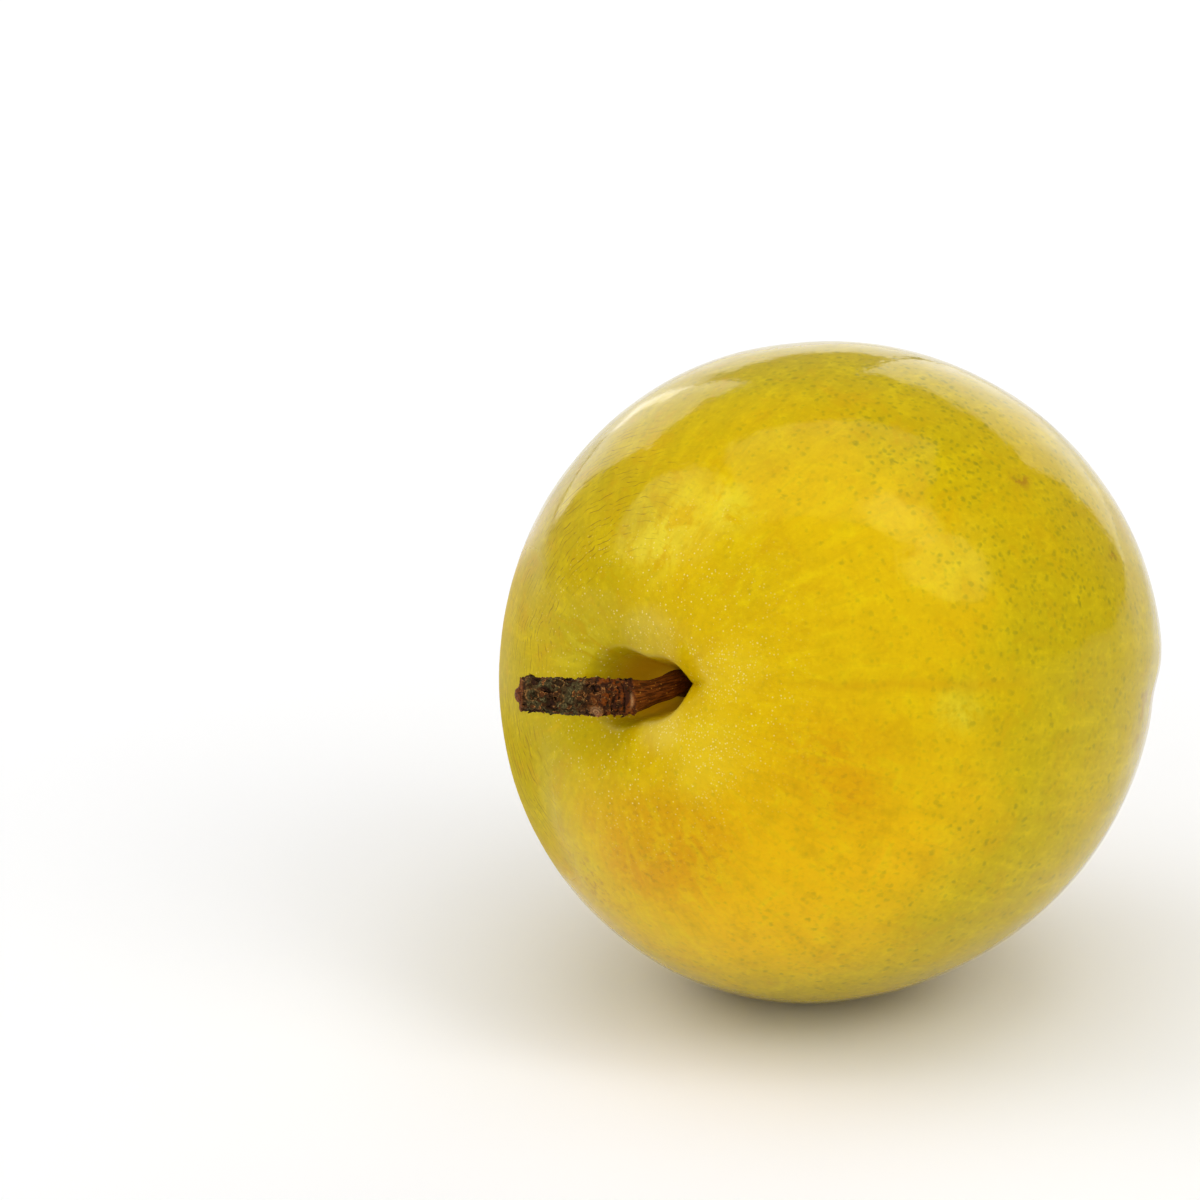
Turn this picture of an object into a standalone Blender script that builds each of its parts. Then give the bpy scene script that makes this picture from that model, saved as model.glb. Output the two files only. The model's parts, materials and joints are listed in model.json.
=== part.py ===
"""A ripe yellow-green plum with its stem, lying on one cheek.

There are two pieces: the fruit, one solid with its stem cavity, its suture and the scar of the
style, and the stem, a smooth pedicel that goes over into a short spur of ringed bark. Lengths are
in metres and +Z is up. The fruit rests on a small flat spot, and the world's origin is the centre
of that spot.

Both are modelled in the fruit's own frame: +Z points out of the stem end, +X to the side that the
suture runs down, and +Y to the cheek that ends up on top.
"""

import math

import bmesh
import bpy
import numpy as np
from mathutils import Matrix, Vector

# How the fruit lies
STEM_TURN = math.radians(37)  # the stem end turns this far to the left of straight ahead
CHEEK_LEAN = math.radians(20)  # the upper cheek leans this far back
CENTRE_HEIGHT = 0.02660  # the fruit's own centre over the ground, a little less than it would stand
SPOT_SHIFT = (-0.00102, 0.00034)  # the middle of the flat spot, seen from right under the fruit's centre

# The body of the fruit: its mean radius, and its departures from a ball as shares of that radius
MEAN_RADIUS = 0.0275
FLATTENED = 0.012  # shorter along the core than across it
HEART = 0.014  # broad at the stem end, narrower at the style end
FULL_CHEEK = 0.036  # the upper cheek stands out further than the lower one
SKEWED = 0.012  # wide across one diagonal, seen along the core
SHOULDER_LEAN = 0.012  # the shoulder of the lower cheek stands higher
THREE_SIDED = (0.009, 0.007)  # a slight three-sidedness round the waist
TWISTED = (-0.011, 0.010)  # the two ends are oval in different directions

# The stem cavity: a wide dish with a narrow pit in it. The angles are how far each reaches from
# the core: towards the suture, to the two cheeks, and to the back, where the stem leans.
DISH_DEPTH = 0.0032
DISH_ANGLES = (math.radians(12), math.radians(12), math.radians(22))
PIT_DEPTH = 0.0044
PIT_ANGLES = (math.radians(6.2), math.radians(5.3), math.radians(11))
PIT_STEEPNESS = 3.5

# The suture: a shallow groove from the cavity's lip to the style scar, which starts as a sharp
# crease in the wall of the pit. Widths are shares of the radius.
GROOVE_DEPTH = 0.00025
GROOVE_WIDTH = 0.07
CREASE_DEPTH = 0.0019
CREASE_WIDTH = 0.050
CREASE_ANGLE = math.radians(8)
CREASE_SPREAD = math.radians(5)
SUTURE_DRIFT = math.radians(2)  # the groove strays this far down by the far end
LOBE_STEP = 0.00025  # the lobe above the groove stands out, and the one below it falls back
LOBE_REACH = 0.45
LOBE_ANGLE = math.radians(115)
LOBE_SPREAD = math.radians(45)

# The style scar, at the end opposite the stem
SCAR_DIMPLE_DEPTH = 0.0006
SCAR_DIMPLE_ANGLE = math.radians(7)
SCAR_TIP_HEIGHT = 0.0005
SCAR_TIP_ANGLE = math.radians(1.6)

# The socket at the bottom of the pit that the stem stands in, and the gap left under the stem
SOCKET_ANGLE = math.radians(4.4)
SOCKET_FLOOR = 0.0192  # its flat floor, over the fruit's centre
SOCKET_GAP = 0.0003

# The grid of the skin
RINGS = 46
COLUMNS = 64
RING_CROWDING = 1.35  # over 1 puts more rings near the cavity
END_CROWDING = 0.6  # 0 spreads the rings evenly, and near 1 crowds them at both ends
COLUMN_CROWDING = 0.6  # the same for the columns, which crowd at the suture

# The stem's middle line, in the fruit's frame, from its root to its cut end
STEM_ROUTE = (
    (0.0001, 0.0000, SOCKET_FLOOR + SOCKET_GAP),
    (0.0003, 0.0000, 0.0212),
    (0.0002, -0.0004, 0.0226),
    (-0.0012, -0.0010, 0.0248),
    (-0.0035, -0.0011, 0.0272),
    (-0.0061, -0.0010, 0.0296),
    (-0.0082, -0.0010, 0.0315),
)
STEM_RINGS = 90
STEM_COLUMNS = 20

# Radii along the stem
ROOT_RADIUS = 0.00115
PEDICEL_RADIUS = 0.00113
BARK_RADIUS = 0.00152
END_RADIUS = 0.00144
BARK_START = 0.345  # where the bark begins, as a share of the length
KNOB_PLACE = 0.55
KNOB_HEIGHT = 0.00012
KNOB_LENGTH = 0.050

# The scar of a side bud, on the knob: how far round it sits, from the side that faces down
BUD_TURN = math.radians(240)
BUD_SPREAD = math.radians(26)
BUD_LENGTH = 0.024
BUD_HEIGHT = 0.00022

# The collar where the pedicel leaves the bark, and the ragged cut at the far end
COLLAR_HEIGHT = 0.00012
COLLAR_LENGTH = 0.012
RAGGED_CUT = 0.00016

# The relief of the bark
BARK_RING_COUNT = 21
BARK_RING_HEIGHT = 0.00006
BARK_WRINKLE_HEIGHT = 0.00006
PEDICEL_RIDGE_COUNT = 5
PEDICEL_RIDGE_HEIGHT = 0.00003

# Colours, as linear red, green and blue
SKIN_COLOUR = (0.66, 0.45, 0.012)
BARK_COLOUR = (0.075, 0.030, 0.010)


def clear_scene():
    for thing in list(bpy.data.objects):
        bpy.data.objects.remove(thing)


def material(name, colour, roughness):
    """A plain Principled material, with nothing metallic about it."""
    made = bpy.data.materials.new(name)
    made.use_nodes = True
    shader = made.node_tree.nodes["Principled BSDF"]
    shader.inputs["Base Color"].default_value = (*colour, 1)
    shader.inputs["Roughness"].default_value = roughness
    shader.inputs["Metallic"].default_value = 0
    return made


def bell(distance, spread):
    """1 in the middle, falling to nothing a few spreads away."""
    return np.exp(-((distance / spread) ** 2))


def body_radius(theta, phi):
    """The fruit without its cavity, groove and scar: a ball with a few broad waves added to it."""
    across, along = np.sin(theta), np.cos(theta)
    waves = 1 - FLATTENED * (3 * along**2 - 1) / 2
    waves += HEART * (5 * along**3 - 3 * along) / 2
    waves += FULL_CHEEK * across * np.sin(phi)
    waves += SKEWED * across**2 * np.sin(2 * phi)
    waves -= SHOULDER_LEAN * across * along * np.sin(phi)
    waves += across**3 * (THREE_SIDED[0] * np.cos(3 * phi) + THREE_SIDED[1] * np.sin(3 * phi))
    waves += across**2 * along * (TWISTED[0] * np.cos(2 * phi) + TWISTED[1] * np.sin(2 * phi))
    return MEAN_RADIUS * waves


def reach(angles, phi):
    """A reach that changes smoothly round the core, between its values at suture, cheeks and back."""
    at_suture, at_cheeks, behind = angles
    to_suture = np.maximum(np.cos(phi), 0) ** 2
    to_back = np.maximum(-np.cos(phi), 0) ** 2
    return at_cheeks + (at_suture - at_cheeks) * to_suture + (behind - at_cheeks) * to_back


def cavity_depth(theta, phi):
    """A wide dish with a steep pit at its middle, both longest on the side away from the suture."""
    pit = np.exp(-((theta / reach(PIT_ANGLES, phi)) ** PIT_STEEPNESS))
    return DISH_DEPTH * bell(theta, reach(DISH_ANGLES, phi)) + PIT_DEPTH * pit


def suture_relief(theta, phi):
    """The groove, the crease it starts from, and the step between the lobes on its two sides."""
    across = np.sin(theta)
    this_side = 1 / (1 + np.exp(-across * np.cos(phi) / 0.02))
    beside = across * np.sin(phi + SUTURE_DRIFT * (theta / 2.2) ** 2)
    groove = GROOVE_DEPTH * bell(beside, GROOVE_WIDTH)
    crease = CREASE_DEPTH * np.exp(-np.abs(beside) / CREASE_WIDTH)
    crease = crease * bell(theta - CREASE_ANGLE, CREASE_SPREAD)
    step = np.tanh(beside / GROOVE_WIDTH) * bell(beside, LOBE_REACH)
    step = LOBE_STEP * step * bell(theta - LOBE_ANGLE, LOBE_SPREAD)
    return this_side * (step - groove - crease)


def scar_relief(theta):
    """A shallow dimple with the dry tip of the style standing in it."""
    from_end = math.pi - theta
    dimple = SCAR_DIMPLE_DEPTH * bell(from_end, SCAR_DIMPLE_ANGLE)
    return SCAR_TIP_HEIGHT * bell(from_end, SCAR_TIP_ANGLE) - dimple


def skin_radius(theta, phi):
    """How far the skin is from the centre, at theta from the stem end and phi round from the suture."""
    radius = body_radius(theta, phi) - cavity_depth(theta, phi)
    return radius + suture_relief(theta, phi) + scar_relief(theta)


def skin_point(theta, phi):
    radius = skin_radius(theta, phi)
    across = radius * np.sin(theta)
    return np.stack([across * np.cos(phi), across * np.sin(phi), radius * np.cos(theta)], axis=-1)


def closed_mesh(name, rings, first_end, last_end):
    """A closed body through rings of points, with a fan of triangles at each of its two ends."""
    count, columns = rings.shape[:2]
    points = [first_end, *rings.reshape(-1, 3), last_end]
    start = 1 + np.arange(count)[:, None] * columns
    here = start + np.arange(columns)
    beside = start + (np.arange(columns) + 1) % columns
    faces = []
    for ring in range(count - 1):
        for column in range(columns):
            low, low_next = here[ring, column], beside[ring, column]
            high, high_next = here[ring + 1, column], beside[ring + 1, column]
            faces.append((low, high, high_next, low_next))
    for column in range(columns):
        faces.append((0, here[0, column], beside[0, column]))
        faces.append((len(points) - 1, beside[-1, column], here[-1, column]))
    mesh = bpy.data.meshes.new(name)
    mesh.from_pydata([tuple(map(float, p)) for p in points], [], [tuple(map(int, f)) for f in faces])
    made = bmesh.new()
    made.from_mesh(mesh)
    bmesh.ops.recalc_face_normals(made, faces=made.faces)
    bmesh.ops.triangulate(made, faces=made.faces)
    made.to_mesh(mesh)
    made.free()
    mesh.shade_smooth()
    thing = bpy.data.objects.new(name, mesh)
    bpy.context.collection.objects.link(thing)
    return thing


def placement():
    """Lays the fruit on its lower cheek, turned and leaned as it lies."""
    turned = Matrix.Rotation(-STEM_TURN, 4, "Z") @ Matrix.Rotation(math.pi / 2, 4, "X")
    leaned = Matrix.Rotation(-CHEEK_LEAN, 4, "X") @ turned
    centre = Vector((-SPOT_SHIFT[0], -SPOT_SHIFT[1], CENTRE_HEIGHT))
    return Matrix.Translation(centre) @ leaned


def cut_flat_spot(fruit):
    """Cuts the fruit off at the ground and closes it with a flat face."""
    to_fruit = fruit.matrix_world.inverted()
    ground = to_fruit @ Vector((0, 0, 0))
    up = (to_fruit.to_3x3() @ Vector((0, 0, 1))).normalized()
    made = bmesh.new()
    made.from_mesh(fruit.data)
    everything = made.verts[:] + made.edges[:] + made.faces[:]
    cut = bmesh.ops.bisect_plane(made, geom=everything, plane_co=ground, plane_no=up, clear_inner=True)
    rim = [edge for edge in cut["geom_cut"] if isinstance(edge, bmesh.types.BMEdge)]
    spot = bmesh.ops.contextual_create(made, geom=rim)["faces"]
    for face in spot:
        face.smooth = False
    bmesh.ops.recalc_face_normals(made, faces=made.faces)
    made.to_mesh(fruit.data)
    made.free()


def build_fruit():
    share = np.linspace(0, 1, RINGS + 1)[:-1] ** RING_CROWDING
    share = share - END_CROWDING * np.sin(2 * math.pi * share) / (2 * math.pi)
    thetas = SOCKET_ANGLE + (math.pi - SOCKET_ANGLE) * share
    turn = np.linspace(0, 2 * math.pi, COLUMNS + 1)[:-1]
    phis = turn - COLUMN_CROWDING * np.sin(turn)
    theta, phi = np.meshgrid(thetas, phis, indexing="ij")
    skin = skin_point(theta, phi)
    socket_floor = skin[:1].copy()
    socket_floor[..., 2] = SOCKET_FLOOR
    socket_middle = socket_floor[0].mean(axis=0)
    far_end = skin_point(math.pi, 0.0)
    fruit = closed_mesh("fruit", np.concatenate([socket_floor, skin]), socket_middle, far_end)
    fruit.data.materials.append(material("plum_skin", SKIN_COLOUR, 0.4))
    fruit.matrix_world = placement()
    bpy.context.view_layer.update()
    cut_flat_spot(fruit)
    return fruit


def smooth_line(route, count):
    """Evenly spaced points and directions along a smooth curve through the route's points (Catmull-Rom)."""
    route = np.array(route)
    padded = np.concatenate([[2 * route[0] - route[1]], route, [2 * route[-1] - route[-2]]])
    fine = []
    for before, here, there, after in zip(padded, padded[1:], padded[2:], padded[3:]):
        t = np.linspace(0, 1, 40, endpoint=False)[:, None]
        curve = 2 * here + (there - before) * t + (2 * before - 5 * here + 4 * there - after) * t**2
        fine.append((curve + (3 * here - before - 3 * there + after) * t**3) / 2)
    fine = np.concatenate(fine + [route[-1:]])
    length = np.concatenate([[0], np.cumsum(np.linalg.norm(np.diff(fine, axis=0), axis=1))])
    even = np.linspace(0, length[-1], count)
    points = np.stack([np.interp(even, length, fine[:, axis]) for axis in range(3)], axis=1)
    along = np.gradient(points, axis=0)
    return points, along / np.linalg.norm(along, axis=1)[:, None]


def step_up(share, start, reach):
    """0 before start, 1 from start + reach on, smooth between."""
    t = np.clip((share - start) / reach, 0, 1)
    return t * t * (3 - 2 * t)


def stem_radius(share, turn):
    """The faintly ridged pedicel, then the thicker bark with its rings, wrinkles, knob and bud scar."""
    bark = step_up(share, BARK_START, 0.03)
    radius = ROOT_RADIUS + (PEDICEL_RADIUS - ROOT_RADIUS) * step_up(share, 0.0, 0.15)
    radius = radius + (BARK_RADIUS - PEDICEL_RADIUS) * step_up(share, BARK_START - 0.15, 0.2)
    radius = radius + (END_RADIUS - BARK_RADIUS) * step_up(share, 0.7, 0.3)
    radius = radius + KNOB_HEIGHT * bell(share - KNOB_PLACE, KNOB_LENGTH)
    radius = radius + COLLAR_HEIGHT * bell(share - BARK_START, COLLAR_LENGTH)
    bud = bell(share - KNOB_PLACE, BUD_LENGTH) * bell(turn - BUD_TURN, BUD_SPREAD)
    ring_phase = 2 * math.pi * BARK_RING_COUNT * share + 0.9 * np.sin(turn + 9 * share)
    rings = BARK_RING_HEIGHT * np.sin(ring_phase) * (1 + 0.6 * np.sin(2 * turn + 17 * share))
    wrinkles = BARK_WRINKLE_HEIGHT * np.sin(4 * turn + 23 * share) * np.sin(53 * share - 3 * turn)
    ridges = PEDICEL_RIDGE_HEIGHT * np.sin(PEDICEL_RIDGE_COUNT * turn)
    return radius + bark * (rings + wrinkles) + BUD_HEIGHT * bud + (1 - bark) * ridges


def build_stem():
    points, along = smooth_line(STEM_ROUTE, STEM_RINGS)
    up = np.array([0.0, 1.0, 0.0])
    side = np.cross(along, up)
    side /= np.linalg.norm(side, axis=1)[:, None]
    top = np.cross(side, along)
    turn = np.linspace(0, 2 * math.pi, STEM_COLUMNS + 1)[:-1]
    share = np.linspace(0, 1, STEM_RINGS)
    radius = stem_radius(share[:, None], turn[None, :])[..., None]
    around = np.cos(turn)[None, :, None] * side[:, None] + np.sin(turn)[None, :, None] * top[:, None]
    rings = points[:, None] + radius * around
    ragged = RAGGED_CUT * (np.sin(3 * turn + 1) + 0.6 * np.sin(5 * turn))
    rings[-1] += ragged[:, None] * along[-1]
    stem = closed_mesh("stem", rings, points[0], points[-1])
    stem.data.materials.append(material("stem_bark", BARK_COLOUR, 0.8))
    stem.matrix_world = placement()
    return stem


def main():
    clear_scene()
    build_fruit()
    build_stem()


main()
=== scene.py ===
"""Dresses the plum: fine skin with its markings, the stem with its bark, and a plain studio round it."""

import json
import math

import bpy
import numpy as np
from bpy.props import FloatProperty, FloatVectorProperty, IntProperty, PointerProperty
from mathutils import Matrix, Vector

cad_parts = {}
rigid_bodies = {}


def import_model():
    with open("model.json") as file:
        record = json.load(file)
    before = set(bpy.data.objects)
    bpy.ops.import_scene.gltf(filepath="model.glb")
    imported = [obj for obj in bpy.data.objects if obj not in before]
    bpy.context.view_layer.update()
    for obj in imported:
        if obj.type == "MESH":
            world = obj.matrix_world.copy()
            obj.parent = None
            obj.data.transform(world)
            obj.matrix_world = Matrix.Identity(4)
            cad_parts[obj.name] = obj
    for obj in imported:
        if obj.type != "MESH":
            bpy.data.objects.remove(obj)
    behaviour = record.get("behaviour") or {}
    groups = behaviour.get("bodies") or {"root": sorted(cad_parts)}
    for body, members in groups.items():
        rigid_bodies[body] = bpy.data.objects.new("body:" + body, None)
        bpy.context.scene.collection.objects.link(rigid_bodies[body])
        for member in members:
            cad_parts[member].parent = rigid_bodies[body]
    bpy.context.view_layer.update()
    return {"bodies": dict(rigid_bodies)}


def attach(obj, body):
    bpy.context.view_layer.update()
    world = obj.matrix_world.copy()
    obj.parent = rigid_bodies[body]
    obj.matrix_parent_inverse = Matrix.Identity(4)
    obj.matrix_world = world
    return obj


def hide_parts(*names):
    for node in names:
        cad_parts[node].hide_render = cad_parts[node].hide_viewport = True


bl_info = {
    "name": "Yellow plum",
    "version": (1, 0, 0),
    "blender": (4, 5, 0),
    "location": "View3D > Sidebar > Plum",
    "description": "Builds a ripe yellow-green plum with its stem, and the stage it is pictured on",
    "category": "Object",
}

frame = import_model()
BODY = next(iter(frame["bodies"]))

# How the fruit lies, as in the part's source
STEM_TURN = math.radians(37)  # the stem end turns this far to the left of straight ahead
CHEEK_LEAN = math.radians(20)  # the upper cheek leans this far back
CENTRE = Vector((0.00102, -0.00034, 0.02660))  # the fruit's own centre

# The body of the fruit: its departures from a ball as shares of the mean radius
FLATTENED = 0.012
HEART = 0.014
FULL_CHEEK = 0.036
SKEWED = 0.012
SHOULDER_LEAN = 0.012
THREE_SIDED = (0.009, 0.007)
TWISTED = (-0.011, 0.010)

# The stem cavity. The angles are its reach towards the suture, to the two cheeks, and to the back.
DISH_ANGLES = (math.radians(12), math.radians(12), math.radians(22))
PIT_ANGLES = (math.radians(7.1), math.radians(5.4), math.radians(11.9))
PIT_ASIDE = math.radians(0.9)  # reaches this much less at the upper cheek, and more at the lower
PIT_STEEPNESS = 7.0

# The suture, and the step between the lobes on its two sides
GROOVE_WIDTH = 0.07
CREASE_DEPTH = 0.0019
CREASE_WIDTH = 0.050
CREASE_ANGLE = math.radians(8)
CREASE_SPREAD = math.radians(5)
SUTURE_DRIFT = math.radians(2)
LOBE_STEP = 0.00025
LOBE_REACH = 0.45
LOBE_ANGLE = math.radians(115)
LOBE_SPREAD = math.radians(45)

# The style scar, at the end opposite the stem
SCAR_DIMPLE_DEPTH = 0.0006
SCAR_DIMPLE_ANGLE = math.radians(7)

# Uneven swells of the skin, broad and narrow, and how far it lies inside the plain solid
SWELL = 0.00022
NARROW_SWELL = 0.00005
INSET = 0.00009

# The stem's middle line, in the fruit's frame, from its root to its cut end
STEM_ROUTE = (
    (0.0001, 0.0000, 0.0195),
    (0.0003, 0.0000, 0.0212),
    (0.0002, -0.0004, 0.0226),
    (-0.0012, -0.0010, 0.0248),
    (-0.0035, -0.00102, 0.0272),
    (-0.0061, -0.00090, 0.0296),
    (-0.0082, -0.00088, 0.0315),
)
STEM_LENGTH = 15.1  # along the route, in millimetres
STEM_SCALE = 1.5  # millimetres round the stem for each radian, about its radius
ROOT_RADIUS = 0.00112
BARK_START = 0.385  # where the bark begins, as a share of the stem's length
KNOB_PLACE = 0.565
BUD_PLACE = KNOB_PLACE + 0.016
BUD_TURN = math.radians(228)
CRESCENT_PLACE = 0.405  # the pale rim of the bark, on the side to the camera
CRESCENT_TURN = 3.40
BARK_END = 0.968  # where the bark was cut; the wood in it stands out a little further

# Round scars of old buds and crusts: share of the length, turn round the stem, radius in millimetres
ROUND_SCARS = (
    (0.590, math.radians(154), 0.52),
    (0.600, math.radians(196), 0.24),
    (0.665, math.radians(178), 0.36),
    (0.775, math.radians(138), 0.42),
    (0.775, math.radians(190), 0.40),
    (0.915, math.radians(180), 0.50),
    (0.700, math.radians(20), 0.45),
    (0.500, math.radians(330), 0.40),
)


# Settings that a user would change


def colour_setting(name, description, default):
    """A setting that shows as a colour."""
    limits = {"subtype": "COLOR", "min": 0, "max": 1}
    return FloatVectorProperty(name=name, description=description, default=default, **limits)


def length_setting(name, description, default, precision=4):
    """A setting that shows as a length, kept in metres."""
    unit = {"unit": "LENGTH", "precision": precision}
    return FloatProperty(name=name, description=description, default=default, **unit)


class SkinSettings(bpy.types.PropertyGroup):
    """Sizes and colours of the fruit."""

    mean_radius: length_setting("Mean radius", "Half the width of the fruit", 0.0275)
    dish_depth: length_setting("Dish depth", "Depth of the wide hollow at the stem", 0.0032)
    pit_depth: length_setting("Pit depth", "Depth of the narrow pit in the hollow", 0.0044)
    groove_depth: length_setting("Groove depth", "Depth of the suture down one side", 0.00025, 5)
    rings: IntProperty(name="Rings", description="Rows of points from end to end", default=300)
    columns: IntProperty(name="Columns", description="Points round the fruit in each row", default=312)
    gold: colour_setting("Gold", "The ripe side", (0.70, 0.450, 0.001))
    green: colour_setting("Green", "The less ripe sides", (0.525, 0.390, 0.001))
    blush: colour_setting("Blush", "The orange patches", (0.68, 0.315, 0.001))
    olive: colour_setting("Olive", "The breathing pores", (0.27, 0.235, 0.006))
    russet: colour_setting("Russet", "Corky marks", (0.36, 0.15, 0.010))
    # Pale is for specks of wax, laid on also as painted glints near the stem and as a painted highlight
    # along the pit's lip
    pale: colour_setting("Pale", "Specks of wax", (0.86, 0.72, 0.22))


class StemSettings(bpy.types.PropertyGroup):
    """Sizes and colours of the stem."""

    pedicel_radius: length_setting("Pedicel radius", "Half the width of the bare stalk", 0.00100, 5)
    bark_radius: length_setting("Bark radius", "Half the width of the bark", 0.00141, 5)
    relief: FloatProperty(name="Relief", description="How rough the bark is", default=1.0, min=0, max=3)
    stalk: colour_setting("Stalk", "The bare stalk", (0.155, 0.040, 0.006))
    bark: colour_setting("Bark", "The old bark", (0.062, 0.029, 0.011))
    edge: colour_setting("Edge", "Torn edges of the bark", (0.52, 0.225, 0.060))
    lichen: colour_setting("Lichen", "The grey crust", (0.185, 0.150, 0.062))


class StageSettings(bpy.types.PropertyGroup):
    """The floor, the light and the camera."""

    floor: colour_setting("Floor", "Colour of the floor", (0.96, 0.96, 0.965))
    room_light: FloatProperty(name="Room light", description="Light from all round", default=0.85)
    panels: FloatProperty(name="Panels", description="Strength of the soft panels", default=1.0)
    distance: length_setting("Distance", "From the camera to the fruit", 0.6, 3)
    lens: FloatProperty(name="Lens", description="Focal length of the camera", default=216, unit="CAMERA")


# Numbers without order that come out the same each run


def scatter(cell, seed):
    """A number from 0 to 1 for each cell of whole numbers, by mixing the digits of its three places."""
    x, y, z = (cell[..., axis].astype(np.int64) for axis in range(3))
    mixed = (x * 374761393 + y * 668265263 + z * 1440662683 + seed * 974634777) & 0xFFFFFFFF
    mixed = ((mixed ^ (mixed >> 13)) * 1274126177) & 0xFFFFFFFF
    mixed = ((mixed ^ (mixed >> 15)) * 668265263) & 0xFFFFFFFF
    return ((mixed ^ (mixed >> 16)) & 0xFFFFFF) / 0xFFFFFF


def cloud(points, seed):
    """Smooth noise from 0 to 1: the scattered numbers of the eight corners round a point, eased between."""
    low = np.floor(points)
    ease = points - low
    ease = ease * ease * (3 - 2 * ease)
    total = 0
    for corner in np.ndindex(2, 2, 2):
        weight = np.prod(np.where(np.array(corner) == 1, ease, 1 - ease), axis=-1)
        total = total + weight * scatter(low + np.array(corner), seed)
    return total


def layered(points, seed, layers=4):
    """Clouds added up, each twice as fine and half as strong as the last, from about 0 to 1."""
    total, weight = 0, 0
    for layer in range(layers):
        total = total + cloud(points * 2.03**layer, seed + layer) * 0.5**layer
        weight += 0.5**layer
    return total / weight


def pebbles(points, seed):
    """Distances to the nearest and second nearest of the dots strewn one to a cell."""
    low = np.floor(points)
    nearest = np.full(points.shape[:-1], 9.0)
    second = nearest.copy()
    for step in np.ndindex(3, 3, 3):
        cell = low + np.array(step) - 1
        dot = cell + np.stack([scatter(cell, seed + axis) for axis in range(3)], axis=-1)
        distance = np.linalg.norm(points - dot, axis=-1)
        second = np.minimum(second, np.maximum(nearest, distance))
        nearest = np.minimum(nearest, distance)
    return nearest, second


# Shapes


def bell(distance, spread):
    """1 in the middle, falling to nothing a few spreads away: e to the power of minus its square."""
    return np.exp(-((distance / spread) ** 2))


def eased(value, low, high):
    """0 up to low, 1 from high on, and a smooth rise between: three squares less two cubes of the share."""
    share = np.clip((value - low) / (high - low), 0, 1)
    return share * share * (3 - 2 * share)


def turns(count):
    """Angles that go once round in even steps, the last one short of the first."""
    return np.linspace(0, 2 * math.pi, count + 1)[:-1]


def placement():
    """Lays the fruit on its lower cheek, turned and leaned as it lies."""
    turned = Matrix.Rotation(-STEM_TURN, 4, "Z") @ Matrix.Rotation(math.pi / 2, 4, "X")
    return Matrix.Translation(CENTRE) @ Matrix.Rotation(-CHEEK_LEAN, 4, "X") @ turned


def placed(points):
    """Points of the fruit's own frame, where they lie on the ground."""
    matrix = np.array(placement())
    return points @ matrix[:3, :3].T + matrix[:3, 3]


def body_radius(theta, phi, mean_radius):
    """The fruit without its cavity and groove: a ball with a few broad waves added to it."""
    across, along = np.sin(theta), np.cos(theta)
    waves = 1 - FLATTENED * (3 * along**2 - 1) / 2
    waves += HEART * (5 * along**3 - 3 * along) / 2
    waves += FULL_CHEEK * across * np.sin(phi)
    waves += SKEWED * across**2 * np.sin(2 * phi)
    waves -= SHOULDER_LEAN * across * along * np.sin(phi)
    waves += across**3 * (THREE_SIDED[0] * np.cos(3 * phi) + THREE_SIDED[1] * np.sin(3 * phi))
    waves += across**2 * along * (TWISTED[0] * np.cos(2 * phi) + TWISTED[1] * np.sin(2 * phi))
    return mean_radius * waves


def reach(angles, phi):
    """A reach that changes smoothly round the core, between its values at suture, cheeks and back."""
    at_suture, at_cheeks, behind = angles
    to_suture = np.maximum(np.cos(phi), 0) ** 2
    to_back = np.maximum(-np.cos(phi), 0) ** 2
    return at_cheeks + (at_suture - at_cheeks) * to_suture + (behind - at_cheeks) * to_back


def pit_share(theta, phi):
    """1 on the floor of the pit, 0 outside it, with a steep wall between: longest away from the suture."""
    return np.exp(-((theta / (reach(PIT_ANGLES, phi) - PIT_ASIDE * np.sin(phi))) ** PIT_STEEPNESS))


def cavity_depth(theta, phi, dish_depth, pit_depth):
    """A wide dish, one bell deep, and the pit in its middle."""
    return dish_depth * bell(theta, reach(DISH_ANGLES, phi)) + pit_depth * pit_share(theta, phi)


def suture_relief(theta, phi, groove_depth):
    """The groove, the crease it starts from, and the step between the lobes on its two sides."""
    across = np.sin(theta)
    this_side = 1 / (1 + np.exp(-across * np.cos(phi) / 0.02))
    beside = across * np.sin(phi + SUTURE_DRIFT * (theta / 2.2) ** 2)
    groove = groove_depth * bell(beside, GROOVE_WIDTH)
    crease = CREASE_DEPTH * np.exp(-np.abs(beside) / CREASE_WIDTH)
    crease = crease * bell(theta - CREASE_ANGLE, CREASE_SPREAD)
    step = np.tanh(beside / GROOVE_WIDTH) * bell(beside, LOBE_REACH)
    step = LOBE_STEP * step * bell(theta - LOBE_ANGLE, LOBE_SPREAD)
    return this_side * (step - groove - crease)


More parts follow.
